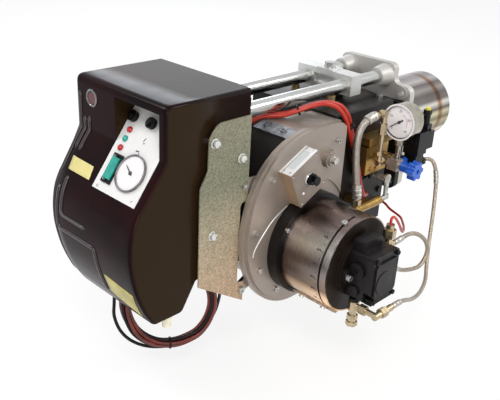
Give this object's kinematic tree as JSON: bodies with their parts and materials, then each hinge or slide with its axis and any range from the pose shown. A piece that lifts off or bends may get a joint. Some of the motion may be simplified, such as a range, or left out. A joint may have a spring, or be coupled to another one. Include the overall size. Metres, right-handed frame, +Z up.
{
  "type": "oil burner",
  "caption": "Two-stage oil burner on slide rails: hooded controls, fan housing, scaled air drum, oil pump, hoses, pressure gauge and a blast tube behind a mounting flange.",
  "frame": {"origin": "centre of the mounting flange's boiler face, on the blast tube's axis", "axes": "+X along the blast tube into the boiler, +Z up, -Y towards the air drum and the oil pump"},
  "size_m": [0.8486, 0.42, 0.4268],
  "materials": {
    "cast_flange": "cast, satin",
    "gasket": "woven fibre board",
    "tube_steel": "polished stainless with heat tint",
    "zinc_steel": "bright zinc",
    "brass_plated": "brass",
    "black_casing": "black powder coat",
    "zinc_screws": "zinc",
    "cast_housing": "cast, satin",
    "galvanised": "galvanised sheet",
    "motor_paint": "dark grey enamel",
    "black_collar": "black satin",
    "drum_steel": "brushed stainless",
    "pale_plastic": "moulded",
    "black_disc": "black satin",
    "pump_black": "black enamel",
    "box_shell": "satin",
    "black_plastic": "moulded",
    "brass_block": "passivated",
    "gauge_steel": "polished",
    "nickel": "nickel plate",
    "blue_plastic": "moulded",
    "coil_black": "moulded, on a brass valve",
    "hood_black": "moulded, glossy",
    "panel_white": "printed",
    "dial_white": "in a chromed rim",
    "teal_plastic": "translucent",
    "red_lens": "translucent",
    "red_button": "moulded",
    "galvanised_plate": "spangled zinc",
    "braided_hose": "steel braid over rubber",
    "red_sleeve": "silicone",
    "black_cable": "smooth",
    "loom_sleeve": "bundled leads"
  },
  "bodies": {
    "fixed_side": {"mounting_flange": "cast_flange", "flange_gasket": "gasket", "blast_tube": "tube_steel", "guide_rails": "zinc_steel"},
    "burner": {"rail_bridge": "zinc_steel", "slide_pillars": "brass_plated", "head_casing": "black_casing", "casing_screws": "zinc_screws", "fan_housing": "cast_housing", "fan_cover": "cast_housing", "cover_screws": "zinc_screws", "motor_body": "motor_paint", "drum_collar": "black_collar", "drum_screws": "zinc_screws", "cable_gland": "pale_plastic", "drum_disc": "black_disc", "pump_body": "pump_black", "pump_cover": "pump_black", "pump_screws": "zinc_screws", "switch_box": "box_shell", "valve_block": "brass_block", "brass_fittings": "brass_plated", "gauge_case": "gauge_steel", "manual_valve": "nickel", "solenoid_coil": "coil_black", "coil_plug": "black_plastic", "jack_cylinder": "brass_plated", "hood_shell": "hood_black", "control_panel": "panel_white", "dial_case": "dial_white", "lamp_lenses": "red_lens", "fuse_caps": "black_plastic", "side_brackets": "galvanised_plate", "bracket_studs": "zinc_screws", "top_strip": "galvanised", "inner_panel": "black_casing", "diffuser_disc": "drum_steel", "nozzle_line": "brass_plated", "supply_hose": "braided_hose", "pump_hose": "braided_hose", "loop_hose": "braided_hose", "red_lead_a": "red_sleeve", "red_lead_b": "red_sleeve", "black_lead": "black_cable", "sensor_lead": "red_sleeve", "loom_red": "loom_sleeve", "loom_black": "black_cable"},
    "rotor": {"fan_wheel": "galvanised", "drive_shaft": "zinc_steel"},
    "air_sleeve": {"air_drum": "drum_steel", "drum_strip": "galvanised"},
    "box_knob": {"box_knob": "black_plastic"},
    "blue_handwheel": {"blue_knob": "blue_plastic"},
    "bleed_handwheel": {"bleed_knob": "blue_plastic"},
    "gauge_pointer": {"gauge_needle": "black_plastic"},
    "dial_pointer": {"dial_needle": "black_plastic"},
    "rocker": {"rocker_switch": "teal_plastic"},
    "reset": {"reset_button": "red_button"},
    "jack": {"jack_rod": "zinc_steel"},
    "flap": {"air_flap": "galvanised"}
  },
  "joints": [
    {"name": "burner_slide", "type": "slide", "parent": "fixed_side", "child": "burner", "axis": [-1, 0, 0], "range_m": [0, 0.24]},
    {"name": "rotor_spin", "type": "hinge", "parent": "burner", "child": "rotor", "pos_m": [-0.318, -0.1, -0.102], "axis": [0, -1, 0], "continuous": true},
    {"name": "air_sleeve_turn", "type": "hinge", "parent": "burner", "child": "air_sleeve", "pos_m": [-0.318, -0.19, -0.102], "axis": [0, 1, 0], "range_deg": [-16, 110]},
    {"name": "box_knob_turn", "type": "hinge", "parent": "burner", "child": "box_knob", "pos_m": [-0.3447, -0.15, 0.01988], "axis": [0, 1, 0], "range_deg": [0, 90]},
    {"name": "blue_handwheel_turn", "type": "hinge", "parent": "burner", "child": "blue_handwheel", "pos_m": [-0.118, -0.18, -0.012], "axis": [0, 1, 0], "range_deg": [0, 270]},
    {"name": "bleed_handwheel_turn", "type": "hinge", "parent": "burner", "child": "bleed_handwheel", "pos_m": [-0.105, -0.159, -0.008], "axis": [1, 0, 0], "range_deg": [0, 180]},
    {"name": "gauge_pointer_turn", "type": "hinge", "parent": "burner", "child": "gauge_pointer", "pos_m": [-0.127, -0.155, 0.066], "axis": [1, 0, 0], "range_deg": [0, 270], "stiffness_Nm_per_rad": 0.0005},
    {"name": "dial_pointer_turn", "type": "hinge", "parent": "burner", "child": "dial_pointer", "pos_m": [-0.60708, -0.052, 0.0643], "axis": [-0.8031, 0, 0.5958], "range_deg": [-200, 60], "stiffness_Nm_per_rad": 0.0005},
    {"name": "rocker_tilt", "type": "hinge", "parent": "burner", "child": "rocker", "pos_m": [-0.60749, -0.014, 0.05837], "axis": [0, 1, 0], "range_deg": [0, 16]},
    {"name": "reset_press", "type": "slide", "parent": "burner", "child": "reset", "axis": [1, 0, 0], "range_m": [0, 0.003], "stiffness_N_per_m": 300, "springref_m": -0.0005},
    {"name": "jack_stroke", "type": "slide", "parent": "burner", "child": "jack", "axis": [1, 0, 0], "range_m": [0, 0.016]},
    {"name": "flap_turn", "type": "hinge", "parent": "burner", "child": "flap", "pos_m": [-0.105, -0.09, -0.05], "axis": [0, -1, 0], "range_deg": [0, 32.8]}
  ],
  "couplings": [
    {"joint": "flap_turn", "follows": "jack_stroke", "rad_per_m": 35.67}
  ]
}
